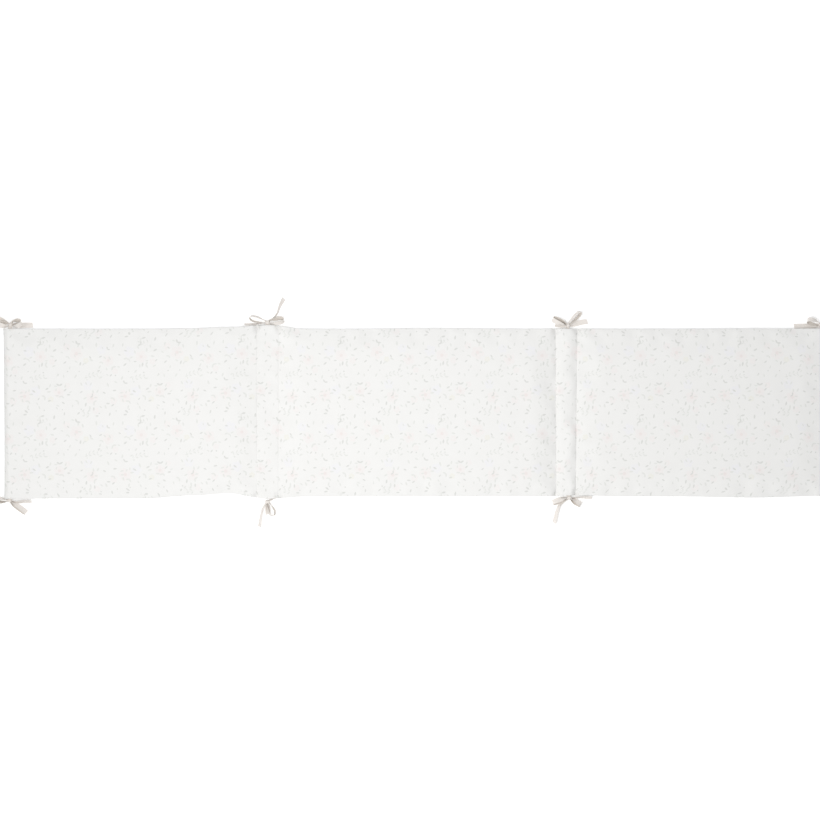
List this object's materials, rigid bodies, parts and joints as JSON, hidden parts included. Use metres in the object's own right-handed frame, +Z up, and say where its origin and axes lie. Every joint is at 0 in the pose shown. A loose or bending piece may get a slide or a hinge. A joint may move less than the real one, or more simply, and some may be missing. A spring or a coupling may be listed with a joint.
{
  "type": "crib bumper",
  "caption": "Long flat padded crib bumper of printed cotton, in filled panels with stitched hinge channels and ribbon ties in bows along both long edges.",
  "frame": {"origin": "middle of the flat underside, on the surface the pad lies on", "axes": "+X along the pad, +Y across it towards its top edge, +Z up out of the printed face"},
  "size_m": [1.7762, 0.4768, 0.0218],
  "materials": {
    "printed_cotton": "plain-weave cotton, off-white with a small scattered print of flowers and leaves",
    "blush_ribbon": "narrow woven ribbon in pale blush beige, soft low sheen"
  },
  "bodies": {
    "root": {"bumper_pad": "printed_cotton", "tie_top_left": "blush_ribbon", "tie_bottom_left": "blush_ribbon", "tie_top_flat_hinge": "blush_ribbon", "tie_bottom_flat_hinge": "blush_ribbon", "tie_top_raised_hinge": "blush_ribbon", "tie_bottom_raised_hinge": "blush_ribbon", "tie_top_right": "blush_ribbon", "tie_bottom_right": "blush_ribbon"}
  },
  "joints": []
}
